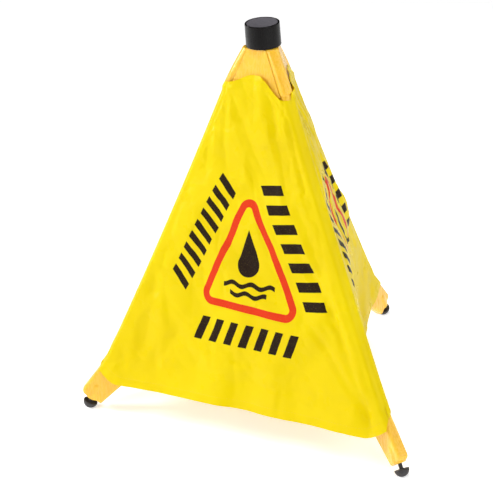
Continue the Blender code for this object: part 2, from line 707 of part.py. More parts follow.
def make_cap(centre):
    recess_radius = DISC_RADIUS + CLEARANCE
    counterbore = SCREW_HEAD_RADIUS + COUNTERBORE_GAP
    profile = [(CAP_SKIRT_RADIUS, CAP_BOTTOM), (CAP_RADIUS, HEIGHT - CAP_ROUNDING)]
    profile += arc((CAP_RADIUS - CAP_ROUNDING, HEIGHT - CAP_ROUNDING), CAP_ROUNDING, 22.5, 90, 3)
    profile += [(recess_radius, HEIGHT), (recess_radius, DISC_RECESS), (counterbore, DISC_RECESS),
                (counterbore, SCREW_SEAT), (SCREW_RADIUS + CLEARANCE, SCREW_SEAT),
                (SCREW_RADIUS + CLEARANCE, CAP_CEILING), (CAP_BORE, CAP_CEILING), (CAP_BORE, CAP_BOTTOM)]
    add_object("cap", turned_ring("cap", profile), centre, "cap")
    top = HEIGHT - CLEARANCE
    disc = turned("cap_disc", [(0, top), (DISC_RADIUS - DISC_CHAMFER, top), (DISC_RADIUS, top - DISC_CHAMFER),
                               (DISC_RADIUS, DISC_RECESS + CLEARANCE), (0, DISC_RECESS + CLEARANCE)], 48)
    add_object("cap_disc", disc, centre, "disc")
    head_top = DISC_RECESS - 0.0002
    head_bottom = SCREW_SEAT + CLEARANCE
    screw = turned("cap_screw", [(0, head_top), (SCREW_HEAD_RADIUS - SCREW_HEAD_SLOPE, head_top),
                                 (SCREW_HEAD_RADIUS, head_bottom + SCREW_HEAD_SLOPE / 2),
                                 (SCREW_HEAD_RADIUS, head_bottom), (SCREW_RADIUS, head_bottom),
                                 (SCREW_RADIUS, SCREW_SHANK_END), (0, SCREW_TIP)], 20)
    add_object("cap_screw", screw, centre, "steel")


def panel_slack(side, share, z):
    """How far in a side of the cover hangs at a height, at that share of its half width."""
    low = min(max((PANEL_MIDDLE - z) / (PANEL_MIDDLE - PANEL_HEM), 0.0), 1.0)
    return PANEL_SLACK[side] * low * low * (3 - 2 * low) * (1 - abs(share) ** 3)


def panel_layer(side, inset):
    """Rows of points of a panel's outer face, moved in by that amount."""
    rows = []
    for z in (PANEL_TOP, PANEL_SHOULDER, PANEL_MIDDLE) + PANEL_LOW_ROWS + (PANEL_HEM,):
        distance = panel_distance(z) - inset
        half = PANEL_TOP_HALF if z == PANEL_TOP else edge_half_width(distance, PANEL_EDGE)
        rows.append([(distance - panel_slack(side, share, z), half * share, z) for share in PANEL_COLUMNS])
    return rows


def make_panel(side, azimuth, centre):
    """One side of the cover: a thin plate, flush with the sleeves, cut back round both legs."""
    bm = bmesh.new()
    layers = [[[bm.verts.new(point) for point in row] for row in panel_layer(side, inset)]
              for inset in (0.0, CLOTH)]
    rows, columns = len(layers[0]), len(PANEL_COLUMNS)
    for layer in layers:
        for r in range(rows - 1):
            for c in range(columns - 1):
                bm.faces.new((layer[r][c], layer[r][c + 1], layer[r + 1][c + 1], layer[r + 1][c]))
    rim = [(0, c) for c in range(columns)] + [(r, columns - 1) for r in range(1, rows)]
    rim += [(rows - 1, c) for c in range(columns - 2, -1, -1)] + [(r, 0) for r in range(rows - 2, 0, -1)]
    for (r, c), (next_r, next_c) in zip(rim, rim[1:] + rim[:1]):
        outer, inner = layers
        bm.faces.new((outer[r][c], outer[next_r][next_c], inner[next_r][next_c], inner[r][c]))
    mesh = turned_to(mesh_from(bm, "panel"), azimuth)
    add_object(side + "_panel", mesh, centre, "cover")


def main():
    clear_scene()
    centre = add_empty("centre", (0, AXIS_Y, 0), (0, 0, 0))
    make_hub(centre)
    make_pins(centre)
    make_cap(centre)
    for name, azimuth in PANEL_AZIMUTHS.items():
        make_panel(name, azimuth, centre)
    for side, azimuth in LEG_AZIMUTHS.items():
        turn = math.radians(azimuth)
        pivot = Vector((PIVOT_RADIUS * math.cos(turn), AXIS_Y + PIVOT_RADIUS * math.sin(turn), PIVOT_HEIGHT))
        hinge = add_empty("hinge_" + side, pivot, (0, -splay(side), turn))
        make_leg(side, hinge)
        make_shoe(side, hinge)
        make_foot(side, hinge)
        make_shoe_pin(side, hinge)
        make_spring(side, hinge)
        make_sleeve(side, hinge)
    bpy.context.view_layer.update()


main()
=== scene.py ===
import json
import math
import random

import bmesh
import bpy
import numpy as np
from mathutils import Matrix, Vector, noise


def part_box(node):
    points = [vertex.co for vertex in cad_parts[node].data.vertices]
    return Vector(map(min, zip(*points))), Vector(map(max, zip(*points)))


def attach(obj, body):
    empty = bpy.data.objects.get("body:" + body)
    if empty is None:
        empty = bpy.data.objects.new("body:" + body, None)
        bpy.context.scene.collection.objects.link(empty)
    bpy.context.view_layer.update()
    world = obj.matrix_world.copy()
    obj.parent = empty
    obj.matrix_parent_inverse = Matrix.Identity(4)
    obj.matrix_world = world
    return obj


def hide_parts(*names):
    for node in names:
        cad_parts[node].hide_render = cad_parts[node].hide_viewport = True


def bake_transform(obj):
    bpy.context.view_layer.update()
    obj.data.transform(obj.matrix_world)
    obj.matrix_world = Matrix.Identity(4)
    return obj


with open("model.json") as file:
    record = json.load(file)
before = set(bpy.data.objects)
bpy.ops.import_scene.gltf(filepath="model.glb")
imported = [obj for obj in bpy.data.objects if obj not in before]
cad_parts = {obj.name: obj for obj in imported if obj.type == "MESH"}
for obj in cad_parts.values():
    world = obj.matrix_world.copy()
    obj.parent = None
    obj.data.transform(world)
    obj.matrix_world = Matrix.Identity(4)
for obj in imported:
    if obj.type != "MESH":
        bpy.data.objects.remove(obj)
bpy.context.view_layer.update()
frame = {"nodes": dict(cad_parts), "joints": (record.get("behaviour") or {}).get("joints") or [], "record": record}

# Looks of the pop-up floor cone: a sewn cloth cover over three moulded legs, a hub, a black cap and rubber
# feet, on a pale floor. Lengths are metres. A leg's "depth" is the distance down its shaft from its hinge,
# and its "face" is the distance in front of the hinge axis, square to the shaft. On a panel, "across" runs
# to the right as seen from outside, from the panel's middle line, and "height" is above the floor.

# ---------------------------------------------------------------- places, from the frame
CAP_LOW, CAP_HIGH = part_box("cap")
AXIS = Vector(((CAP_LOW.x + CAP_HIGH.x) / 2, (CAP_LOW.y + CAP_HIGH.y) / 2, 0))
HINGES = {joint["child"]: joint for joint in frame["joints"]}
FEET = {mount["name"].replace("_foot_flat", "_leg"): Vector(mount["pos_m"])
        for mount in frame["record"]["mounts"] if "foot" in mount["name"]}
PIVOT_HEIGHT = HINGES["rear_leg"]["pos_m"][2]
PIVOT_RADIUS = HINGES["rear_leg"]["pos_m"][1] - AXIS.y
SLOTS = {part["node"]: part["material_slot"] for part in frame["record"]["subparts"]}
LEGS = ("left_leg", "right_leg", "rear_leg")
PANELS = {"front": (270.0, "left_leg", "right_leg"),      # azimuth, leg on its left, leg on its right
          "right": (30.0, "right_leg", "rear_leg"),
          "left": (150.0, "rear_leg", "left_leg")}

# sections of the frame's legs and shoes
SHAFT_FACE = 0.0107
SHAFT_HALF = 0.0078
SHAFT_NOSE = 0.0060
SHAFT_BOW = 0.0022
SHAFT_START = 0.0720
SHAFT_END = 0.4520
SHOULDER_FACE = 0.0088
SHOULDER_SWELL = 0.0042
SHOULDER_SWELL_START = 0.0120
SHOE_FACE = 0.0112
SHOE_KINK = 0.4700                # depth where the shoe's front kicks out
SHOE_SLOPE = 0.241
FOOT_OFFSET = 0.0088
DOME_HEIGHT = 0.0093

# how the cover lies on the legs
CLOTH_OUT = 0.0012                # cover's outer side above the shaft
SHOE_CLEAR = 0.0002               # how much further out it lies on a shoe
SHOE_LAP = (0.434, 0.456)         # depths between which it passes from the shaft to the shoe
SHOULDER_HUG = 0.0003             # how much closer it lies to a shoulder
SHOULDER_LAP = (0.004, -0.002)    # where it passes from the shaft to the shoulder, past the shaft's start

# the cover
CLOTH = 0.0007                    # thickness
COVER_COLUMNS = 66                # cells from a panel's middle line to a leg
COLUMN_CROWDING = 0.92            # below 1, the cells are narrower beside the leg
NOSE_COLUMNS = 12                 # cells round half of a leg's nose
COVER_ROWS = 200
COVER_SHARP = math.radians(60)    # edges sharper than this stay sharp
TOP_HEIGHT = 0.4490
TOP_CORNERS = {"front": 0.4380, "right": 0.4320, "left": 0.4430}   # top edge beside the leg on its left
SLEEVE_TOP = 0.4225               # where the cover starts to wrap a leg
SLEEVE_STEP = 0.0008              # how much higher one panel's cloth ends on a ridge than the next one's
HEM_HEIGHT = 0.0432
HEM_CORNER = 0.0560               # hem beside the leg
HEM_RIDGE = 0.0685                # hem over the shoe's front
HEM_PULLED = 0.0740               # the pulled corner
HEM_RISE_START = 0.83             # reach where the hem starts to rise to the corner
HEM_RISE_SPAN = 0.17
HEM_RISE_POWER = 1.3
HEM_WIDTH = 0.0110
HEM_THICKER = 0.0004              # how far the doubled cloth of the hem stands out
HEM_TUCK = 0.0035                 # how far in the middle of the hem is drawn
HEM_TUCK_HEIGHTS = (0.12, 0.06)   # where that starts and where it is full
SLACK_HEIGHTS = (0.240, 0.045)    # the same for a panel's slack
SHOULDER_LIFT = 0.0014            # how far the cloth stands out beside a shoulder
SHOULDER_HEIGHTS = (0.414, 0.428)
SHOULDER_REACH = (0.45, 0.85)
LEG_FADE = (1.0, 0.90)            # reach over which folds and creases grow from nothing beside a leg
NEAR_HUB = (0.36, 0.43)           # heights over which the cover changes to following the hub
SLOPE = math.radians(14.1)        # a panel's lean from the vertical
THREAD_LENGTH = 0.0026
THREAD_RADIUS = 0.00022
THREAD_RINGS = ((-0.5, 0.35), (-0.36, 0.9), (0.36, 0.9), (0.5, 0.35))    # shares of its length and radius
THREAD_SIDES = 6
STITCH_PITCH = 0.0041 / 0.21      # as a share of half of the hem's width
STITCH_ABOVE_HEM = HEM_WIDTH - 0.0015

# printed marks: a triangle with a drop over a puddle, and three rows of slanted bars
MARK_CENTRE = (0.0045, 0.2120)
TRIANGLE_CORNERS = ((-0.0458, 0.1790), (0.0613, 0.1742), (0.0028, 0.2860))  # centres of its rounded corners
TRIANGLE_OUTSIDE = 0.0145         # radius of a corner, at the border's outer and inner side
TRIANGLE_INSIDE = 0.0050
BAR_ROWS = (((-0.096, 0.188), (-0.0245, 0.3235), 9), ((0.0300, 0.3205), (0.109, 0.168), 7),
            ((-0.0640, 0.1345), (0.088, 0.1315), 7))                    # start, end, number of bars
BAR_HALF_HEIGHT = 0.0145
BAR_SHARE = 0.52                  # how much of a bar's pitch is inked
BAR_SLANT = 0.35
DROP_RADIUS = 0.0150
DROP_TIP = 0.043                  # its tip above the centre of its round part
DROP_LIFT = 0.009                 # that centre above the marks' centre
WAVES = ((-0.0160, 0.036, 0.0), (-0.0275, 0.026, 1.6))                  # level, half length, phase
WAVE_ASIDE = 0.003
WAVE_TURN = 240.0                 # radians a metre
WAVE_SWING = 0.0021
WAVE_HALF_THICKNESS = 0.0028

# folds of the front panel: start, end (across, height), half width, and height above the cloth
FRONT_FOLDS = (
    ((0.011, 0.447), (0.013, 0.405), 0.0120, 0.0026),
    ((0.013, 0.405), (0.042, 0.344), 0.0160, 0.0034),
    ((0.042, 0.344), (0.050, 0.290), 0.0130, 0.0022),
    ((-0.029, 0.419), (-0.013, 0.390), 0.0100, -0.0022),
    ((-0.013, 0.390), (0.024, 0.320), 0.0120, -0.0026),
    ((-0.038, 0.420), (-0.037, 0.312), 0.0070, -0.0012),
    ((0.020, 0.434), (0.039, 0.412), 0.0050, 0.0018),
    ((0.026, 0.430), (0.044, 0.408), 0.0050, -0.0020),
    ((0.029, 0.402), (0.052, 0.314), 0.0080, -0.0022),
    ((0.039, 0.418), (0.073, 0.309), 0.0090, 0.0018),
    ((0.050, 0.398), (0.079, 0.317), 0.0060, -0.0014),
    ((-0.010, 0.359), (0.021, 0.302), 0.0080, -0.0016),
    ((-0.047, 0.409), (-0.056, 0.321), 0.0100, 0.0014),
    ((0.070, 0.300), (0.104, 0.232), 0.0090, -0.0022),
    ((0.072, 0.250), (0.134, 0.168), 0.0090, -0.0024),
    ((0.131, 0.174), (0.193, 0.050), 0.0100, -0.0030),
    ((0.098, 0.160), (0.180, 0.070), 0.0080, -0.0026),
    ((0.118, 0.222), (0.186, 0.086), 0.0120, 0.0026),
    ((-0.126, 0.196), (-0.149, 0.084), 0.0150, -0.0022),
    ((-0.092, 0.124), (-0.134, 0.070), 0.0110, -0.0018),
    ((-0.010, 0.108), (-0.007, 0.050), 0.0070, -0.0014),
    ((0.058, 0.086), (0.061, 0.044), 0.0060, -0.0012),
    ((-0.030, 0.208), (-0.029, 0.178), 0.0050, -0.0010),
    ((0.018, 0.272), (0.032, 0.238), 0.0060, -0.0014),
)
FOLD_SOFTNESS = 0.02              # how round a fold's crest is, from 0 for a knife edge
FOLD_FADE_IN = (-0.35, 0.25)      # where a fold starts and ends, in shares of its length
FOLD_FADE_OUT = (1.35, 0.75)

# folds drawn at random on the other panels: they fan out from the top of the cone
SIDE_FOLDS = 26                   # on each
FOLD_SEEDS = {"right": 12, "left": 31}
FAN_HEIGHT = 0.50
FAN_LEAN = 0.50                   # the most that one leans: sideways for each metre down
FOLD_TOPS = (0.14, 0.43)
FOLD_DROPS = (0.05, 0.16)
FOLD_LOWEST = 0.045
FOLD_WANDER = 0.012
FOLD_HALF_WIDTHS = (0.004, 0.010)
FOLD_RISES = (0.0014, 0.0032)

# storage creases on every panel: how far the wide, the middle and the sharp ones stand out
CRUMPLE_WIDE = 0.0016
CRUMPLE_MIDDLE = 0.0006
CRUMPLE_SHARP = 0.0005
CRUMPLE_SHARP_FROM = 0.72         # noise level where a sharp crease starts, and the rest up to 1
CRUMPLE_SHARP_SPAN = 0.28

# looseness of the cover
PANEL_SLACK = {"front": 0.002, "right": 0.037, "left": 0.012}     # how far in a panel hangs at its hem
SETTLE_COLUMNS = 81               # grid, frames and looseness of the cover's cloth simulation
SETTLE_ROWS = 91
SETTLE_FRAMES = 24
SETTLE_SLACK = 0.006
SETTLE_START = 0.0012             # unevenness that it starts from
SETTLE_LIMIT = 0.0035

# cap and disc: radii, then depths below the cap's top
CAP_RIM = 0.0213
CAP_BORE = 0.0199
CAP_LIP = 0.0201                  # inner edge of the rim
CAP_WELL = 0.0197                 # wall of the recess that the disc sits in
CAP_SINK = 0.0040                 # wall of the screw head's sink
CAP_SCREW_HOLE = 0.0018
CAP_RECESS_DEPTH = 0.0018
CAP_SINK_DEPTH = 0.0036
CAP_CEILING_DEPTH = 0.0055
SKIRT_ROUND = 0.0005
RIM_ROUND = 0.0008
LIP_ROUND = 0.0004
TURN_STEPS = 128
CORNER_STEPS = 6
TURNED_SHARP = math.radians(40)   # edges sharper than this stay sharp
STEEL_SHARP = math.radians(50)

# fine meshes of the moulded parts: cell size, and rounds of softening
MOULDING = {"hub": (0.0005, 1), "leg": (0.0007, 1), "shoe": (0.0006, 2), "foot": (0.0004, 4)}

# looks
CLOTH_SHINE = 0.12                # specular level of the coating and of the matt ink
INK_SHINE = 0.04
CLOTH_GLOW = 0.16                 # share of the light that comes through the cloth
WEAVE_PITCH = 0.0009

COLORS = {
    "yellow": (0.930, 0.735, 0.001),
    "yellow_shade": (0.820, 0.600, 0.001),
    "red": (0.800, 0.052, 0.016),
    "ink": (0.026, 0.015, 0.011),
    "plastic": (0.960, 0.570, 0.046),
    "plastic_shade": (0.880, 0.460, 0.034),
    "cap": (0.0040, 0.0034, 0.0033),
    "cap_shade": (0.006, 0.005, 0.005),
    "disc": (0.140, 0.132, 0.150),
    "disc_shade": (0.115, 0.108, 0.122),
    "rubber": (0.030, 0.027, 0.028),
    "rubber_shade": (0.045, 0.042, 0.042),
    "thread": (0.95, 0.70, 0.03),
    "thread_shade": (0.80, 0.55, 0.02),
    "steel": (0.580, 0.580, 0.600),
    "steel_shade": (0.42, 0.42, 0.44),
}

# ---------------------------------------------------------------- camera, light and floor
CAMERA_FROM_AXIS = Vector((1.3477, -2.1814, 1.3271))
CAMERA_AZIMUTH = 32.63
CAMERA_ELEVATION = 23.46
CAMERA_ROLL = -4.76
LENS = 161.5
SENSOR = 36.0
SKY_LOW = 0.12                    # light from the horizon and from overhead
SKY_HIGH = 1.00
SKY_TOP = 0.9                     # how far up the sky is at its brightest
LIGHTS_AIM = 0.24                 # height on the cone's axis that the lamps point at
LIGHTS = (                        # name, place, size, watts
    ("key", (-2.4, -0.8, 1.4), (0.7, 0.7), 51),
    ("front", (-1.15, -2.05, 1.15), (0.9, 0.35), 13),
    ("strip", (2.3, -0.3, 1.2), (0.5, 1.4), 11),
    ("right", (1.9, -1.3, 1.1), (0.8, 1.2), 14),
    ("top", (0.2, -0.4, 2.6), (1.0, 1.0), 22),
    ("back", (1.8, 1.5, 1.4), (1.2, 1.0), 11),
)
FLOOR_REACH = 12.0
FLOOR_GAP = 0.0001                # how far the floor lies under the feet
FLOOR_SHADE = 0.93
FLOOR_GLOW = 0.55                 # its own light, which keeps it as pale as the photo's backdrop


def make_camera():
    azimuth = math.radians(CAMERA_AZIMUTH)
    elevation = math.radians(CAMERA_ELEVATION)
    forward = Vector((-math.sin(azimuth) * math.cos(elevation), math.cos(azimuth) * math.cos(elevation),
                      -math.sin(elevation)))
    level = Vector((math.cos(azimuth), math.sin(azimuth), 0))
    right = Matrix.Rotation(math.radians(CAMERA_ROLL), 3, -forward) @ level
    up = right.cross(forward)
    camera = bpy.data.objects.new("camera", bpy.data.cameras.new("camera"))
    camera.data.lens = LENS
    camera.data.sensor_width = SENSOR
    turned = Matrix((right, up, -forward)).transposed().to_4x4()
    camera.matrix_world = Matrix.Translation(AXIS + CAMERA_FROM_AXIS) @ turned
    bpy.context.scene.collection.objects.link(camera)
    bpy.context.scene.camera = camera


def area_light(name, spot, size, power):
    light = bpy.data.lights.new(name, "AREA")
    light.shape = "RECTANGLE"
    light.size, light.size_y = size
    light.energy = power
    lamp = bpy.data.objects.new(name, light)
    lamp.location = spot
    target = Vector((AXIS.x, AXIS.y, LIGHTS_AIM))
    lamp.rotation_euler = (target - Vector(spot)).to_track_quat("-Z", "Y").to_euler()
    bpy.context.scene.collection.objects.link(lamp)


def make_light():
    world = bpy.data.worlds.new("studio")
    world.use_nodes = True
    tree = world.node_tree
    split = tree.nodes.new("ShaderNodeSeparateXYZ")
    tree.links.new(tree.nodes.new("ShaderNodeTexCoord").outputs["Generated"], split.inputs["Vector"])
    glow = Field(tree, split.outputs["Z"]).ramp(0.0, SKY_TOP, SKY_LOW, SKY_HIGH)
    plug(tree, glow, tree.nodes["Background"].inputs["Strength"])
    bpy.context.scene.world = world
    for name, spot, size, power in LIGHTS:
        area_light(name, spot, size, power)
    bpy.context.scene.view_settings.view_transform = "Standard"


def make_floor():
    mesh = bpy.data.meshes.new("floor")
    corners = [(x * FLOOR_REACH, y * FLOOR_REACH, 0) for x, y in ((-1, -1), (1, -1), (1, 1), (-1, 1))]
    mesh.from_pydata(corners, [], [(0, 1, 2, 3)])
    floor = bpy.data.objects.new("floor", mesh)
    floor.location.z = -FLOOR_GAP
    bpy.context.scene.collection.objects.link(floor)
    paint = bpy.data.materials.new("floor")
    paint.use_nodes = True
    shader = paint.node_tree.nodes["Principled BSDF"]
    shader.inputs["Base Color"].default_value = (FLOOR_SHADE, FLOOR_SHADE, FLOOR_SHADE, 1)
    shader.inputs["Roughness"].default_value = 0.9
    shader.inputs["Specular IOR Level"].default_value = 0.1
    shader.inputs["Emission Color"].default_value = (1.0, 1.0, 1.0, 1)
    shader.inputs["Emission Strength"].default_value = FLOOR_GLOW
    mesh.materials.append(paint)


# ---------------------------------------------------------------- materials: numbers as nodes
class Field:
    """A number that a material works out at each point. Arithmetic on it adds Math nodes."""

    def __init__(self, tree, socket):
        self.tree = tree
        self.socket = socket

    def math(self, operation, *others):
        node = self.tree.nodes.new("ShaderNodeMath")
        node.operation = operation
        for slot, value in zip(node.inputs, (self,) + others):
            plug(self.tree, value, slot)
        return Field(self.tree, node.outputs[0])

    def __add__(self, other):
        return self.math("ADD", other)

    def __sub__(self, other):
        return self.math("SUBTRACT", other)

    def __mul__(self, other):
        return self.math("MULTIPLY", other)

    def __abs__(self):
        return self.math("ABSOLUTE")

    def sine(self):
        return self.math("SINE")

    def fraction(self):
        return self.math("FRACT")

    def below(self, limit):
        return self.math("LESS_THAN", limit)

    def above(self, limit):
        return self.math("GREATER_THAN", limit)

    def either(self, other):
        return self.math("MAXIMUM", other)

    def ramp(self, low, high, start=0.0, end=1.0):
        """Runs smoothly from start to end as this number goes from low to high."""
        node = self.tree.nodes.new("ShaderNodeMapRange")
        node.interpolation_type = "SMOOTHSTEP"
        for name, value in (("Value", self), ("From Min", low), ("From Max", high), ("To Min", start),
                            ("To Max", end)):
            plug(self.tree, value, node.inputs[name])
        return Field(self.tree, node.outputs["Result"])


def plug(tree, value, slot):
    if isinstance(value, Field):
        tree.links.new(value.socket, slot)
    else:
        slot.default_value = value


def mix_color(tree, share, first, second):
    node = tree.nodes.new("ShaderNodeMix")
    node.data_type = "RGBA"
    plug(tree, share, node.inputs["Factor"])
    for value, slot in ((first, node.inputs["A"]), (second, node.inputs["B"])):
        plug(tree, value if isinstance(value, Field) else (*value, 1.0), slot)
    return Field(tree, node.outputs["Result"])


def place(tree):
    return tree.nodes.new("ShaderNodeTexCoord").outputs["Object"]


def noise_field(tree, scale, detail=3.0, stretch=(1, 1, 1)):
    """Smooth noise, about 0.5 on average, with about that many waves to a metre."""
    mapping = tree.nodes.new("ShaderNodeMapping")
    mapping.inputs["Scale"].default_value = stretch
    tree.links.new(place(tree), mapping.inputs["Vector"])
    node = tree.nodes.new("ShaderNodeTexNoise")
    node.inputs["Scale"].default_value = scale
    node.inputs["Detail"].default_value = detail
    tree.links.new(mapping.outputs["Vector"], node.inputs["Vector"])
    return Field(tree, node.outputs["Fac"])


def bump(tree, height, distance, strength, normal=None):
    node = tree.nodes.new("ShaderNodeBump")
    node.inputs["Strength"].default_value = strength
    node.inputs["Distance"].default_value = distance
    plug(tree, height, node.inputs["Height"])
    if normal is not None:
        tree.links.new(normal, node.inputs["Normal"])
    return node.outputs["Normal"]


def new_material(name):
    made = bpy.data.materials.new(name)
    made.use_nodes = True
    return made, made.node_tree, made.node_tree.nodes["Principled BSDF"]


def edge_normal(tree, radius):
    node = tree.nodes.new("ShaderNodeBevel")
    node.samples = 4
    node.inputs["Radius"].default_value = radius
    return node.outputs["Normal"]


def edge_distance(across, height, start, end):
    """Distance from an edge, and which side of it: above zero on its right."""
    run = Vector(end) - Vector(start)
    x = across - start[0]
    y = height - start[1]
    share = (x * run.x + y * run.y) * (1 / run.length_squared)
    share = share.math("MAXIMUM", 0.0).math("MINIMUM", 1.0)
    dx = x - share * run.x
    dy = y - share * run.y
    return (dx * dx + dy * dy).math("SQRT"), x * run.y - y * run.x


def rounded_triangle(across, height):
    """The triangle's border: a band of even width with round corners."""
    corners = TRIANGLE_CORNERS
    edges = [edge_distance(across, height, corners[i], corners[(i + 1) % 3]) for i in range(3)]
    near = edges[0][0].math("MINIMUM", edges[1][0]).math("MINIMUM", edges[2][0])
    outside = edges[0][1].either(edges[1][1]).either(edges[2][1])
    return near.below(TRIANGLE_OUTSIDE) * near.above(TRIANGLE_INSIDE) * outside.above(0.0)


def printed_marks(tree, across, height):
    """(red, ink) shares of the printed marks at a point of a panel."""
    x = across - MARK_CENTRE[0]
    y = height - MARK_CENTRE[1]
    red = rounded_triangle(across, height)

    sine = DROP_RADIUS / DROP_TIP
    cosine = math.sqrt(1 - sine * sine)
    up = y - DROP_LIFT
    round_part = (x * x + up * up).below(DROP_RADIUS ** 2)
    cone_part = (abs(x) * cosine + up * sine).below(DROP_RADIUS) * up.above(DROP_RADIUS * sine)
    ink = round_part.either(cone_part)
    for level, half_length, phase in WAVES:
        wave = y - level - (x * WAVE_TURN + phase).sine() * WAVE_SWING
        ink = ink.either(abs(wave).below(WAVE_HALF_THICKNESS) * abs(x - WAVE_ASIDE).below(half_length))
    for start, end, count in BAR_ROWS:
        run = Vector(end) - Vector(start)
        length = run.length
        run.normalize()
        along = (across - start[0]) * run.x + (height - start[1]) * run.y
        aside = (height - start[1]) * run.x - (across - start[0]) * run.y
        cell = (along - aside * BAR_SLANT) * (count / length)
        bars = cell.fraction().below(BAR_SHARE) * cell.above(0.0) * cell.below(float(count))
        ink = ink.either(bars * abs(aside).below(BAR_HALF_HEIGHT))
    return red, ink


def cover_material(name, printed):
    """Coated nylon: plain weave, storage creases and a soft shine; light comes through it."""
    made, tree, shader = new_material(name)
    uv = tree.nodes.new("ShaderNodeUVMap")
    uv.uv_map = "panel"
    split = tree.nodes.new("ShaderNodeSeparateXYZ")
    tree.links.new(uv.outputs["UV"], split.inputs["Vector"])
    across = Field(tree, split.outputs["X"])
    height = Field(tree, split.outputs["Y"])
    cloudy = noise_field(tree, 9.0, 4.0).ramp(0.35, 0.70)
    color = mix_color(tree, cloudy * 0.35, COLORS["yellow"], COLORS["yellow_shade"])
    threads_across = (across * (2 * math.pi / WEAVE_PITCH)).sine()
    threads_along = (height * (2 * math.pi / WEAVE_PITCH)).sine()
    weave = threads_across * threads_along
    color = mix_color(tree, weave.ramp(-1.0, 1.0, 0.0, 0.10), color, COLORS["yellow_shade"])
    if printed:
        red, ink = printed_marks(tree, across, height)
        wear = noise_field(tree, 900.0, 2.0).ramp(0.30, 0.42, 0.93, 1.0)
        color = mix_color(tree, red * wear, color, COLORS["red"])
        color = mix_color(tree, ink * wear, color, COLORS["ink"])
        shine = red.either(ink).ramp(0.0, 1.0, CLOTH_SHINE, INK_SHINE)
        plug(tree, shine, shader.inputs["Specular IOR Level"])
    else:
        shader.inputs["Specular IOR Level"].default_value = CLOTH_SHINE
    plug(tree, color, shader.inputs["Base Color"])
    rough = noise_field(tree, 40.0, 3.0).ramp(0.3, 0.7, 0.26, 0.36)
    plug(tree, rough, shader.inputs["Roughness"])
    crease = noise_field(tree, 55.0, 4.0, (1, 1, 0.45))
    fine = noise_field(tree, 260.0, 2.0)
    normal = bump(tree, crease, distance=0.0012, strength=0.45)
    normal = bump(tree, fine, distance=0.0003, strength=0.35, normal=normal)
    normal = bump(tree, weave, distance=0.00006, strength=0.6, normal=normal)
    tree.links.new(normal, shader.inputs["Normal"])
    glow = tree.nodes.new("ShaderNodeBsdfTranslucent")
    plug(tree, color, glow.inputs["Color"])
    tree.links.new(normal, glow.inputs["Normal"])
    mixed = tree.nodes.new("ShaderNodeMixShader")
    mixed.inputs["Fac"].default_value = CLOTH_GLOW
    tree.links.new(shader.outputs["BSDF"], mixed.inputs[1])
    tree.links.new(glow.outputs["BSDF"], mixed.inputs[2])
    tree.links.new(mixed.outputs["Shader"], tree.nodes["Material Output"].inputs["Surface"])
    return made


def moulded_material(name, color_name, roughness, edge, grain, depth, light=0.0, shine=0.5):
    """Moulded plastic or rubber: rounded edges, fine grain, slight clouding, paler edges of rubbed wear and
    painted highlight.

    edge is the radius that edges are rounded to, grain and depth the waves to a metre and the depth of the
    surface's grain, and light how much light the material lets in.
    """
    color = COLORS[color_name]
    shade = COLORS[color_name + "_shade"]
    made, tree, shader = new_material(name)
    rounded = edge_normal(tree, edge)
    geometry = tree.nodes.new("ShaderNodeNewGeometry")
    facing = tree.nodes.new("ShaderNodeVectorMath")
    facing.operation = "DOT_PRODUCT"
    tree.links.new(rounded, facing.inputs[0])
    tree.links.new(geometry.outputs["Normal"], facing.inputs[1])
    # edges painted paler: partly rubbed wear, partly a painted highlight where the rounded edges catch the light
    worn_and_lit_edge = Field(tree, facing.outputs["Value"]).ramp(0.90, 0.995, 1.0, 0.0)
    cloudy = noise_field(tree, 60.0, 4.0).ramp(0.35, 0.70)
    base = mix_color(tree, cloudy * 0.5, color, shade)
    edge_wear_and_highlight = tuple(min(1.0, c * 1.15 + 0.01) for c in color)
    # mixes in the painted edge highlight and wear
    base = mix_color(tree, worn_and_lit_edge * 0.5, base, edge_wear_and_highlight)
    plug(tree, base, shader.inputs["Base Color"])
    scratched = noise_field(tree, 420.0, 3.0, (1, 1, 0.12)).ramp(0.35, 0.75, -0.05, 0.10)
    plug(tree, scratched + roughness, shader.inputs["Roughness"])
    shader.inputs["Specular IOR Level"].default_value = shine
    if light > 0:
        shader.inputs["Subsurface Weight"].default_value = light
        shader.inputs["Subsurface Radius"].default_value = (1.0, 0.6, 0.1)
        shader.inputs["Subsurface Scale"].default_value = 0.003
    normal = bump(tree, noise_field(tree, grain, 2.0), depth, strength=0.5, normal=rounded)
    tree.links.new(normal, shader.inputs["Normal"])
    return made


def steel_material():
    made, tree, shader = new_material("steel_wire")
    cloudy = noise_field(tree, 300.0).ramp(0.3, 0.7)
    plug(tree, mix_color(tree, cloudy, COLORS["steel"], COLORS["steel_shade"]), shader.inputs["Base Color"])
    shader.inputs["Metallic"].default_value = 1.0
    drawn = noise_field(tree, 900.0, 2.0, (1, 1, 0.1)).ramp(0.3, 0.7, 0.22, 0.42)
    plug(tree, drawn, shader.inputs["Roughness"])
    normal = bump(tree, noise_field(tree, 2500.0), distance=0.00005, strength=0.4)
    tree.links.new(normal, shader.inputs["Normal"])
    return made


# ---------------------------------------------------------------- the cover's shape
NOSE_DEEP = SHAFT_NOSE + CLOTH_OUT
NOSE_HALF = SHAFT_HALF + CLOTH_OUT
NOSE_SUPPORT = math.hypot(NOSE_DEEP * 0.5, NOSE_HALF * math.sqrt(0.75))
NOSE_TURN = math.atan(math.sqrt(3) * NOSE_HALF / NOSE_DEEP)      # ellipse angle of the tangent point
SETTLED = {}                      # each panel's looseness, once it is simulated


def smooth(low, high, value):
    """Runs smoothly from 0 to 1 as the value goes from low to high, which may be the smaller one."""
    t = np.clip((value - low) / (high - low), 0.0, 1.0)
    return t * t * (3 - 2 * t)


def leg_splay(leg):
    """A leg's angle from the vertical, from its hinge to where its foot stands."""
    pivot = Vector(HINGES[leg]["pos_m"])
    reach = (FEET[leg].xy - pivot.xy).length
    drop = PIVOT_HEIGHT - DOME_HEIGHT
    return math.atan2(reach, drop) - math.asin(FOOT_OFFSET / math.hypot(reach, drop))


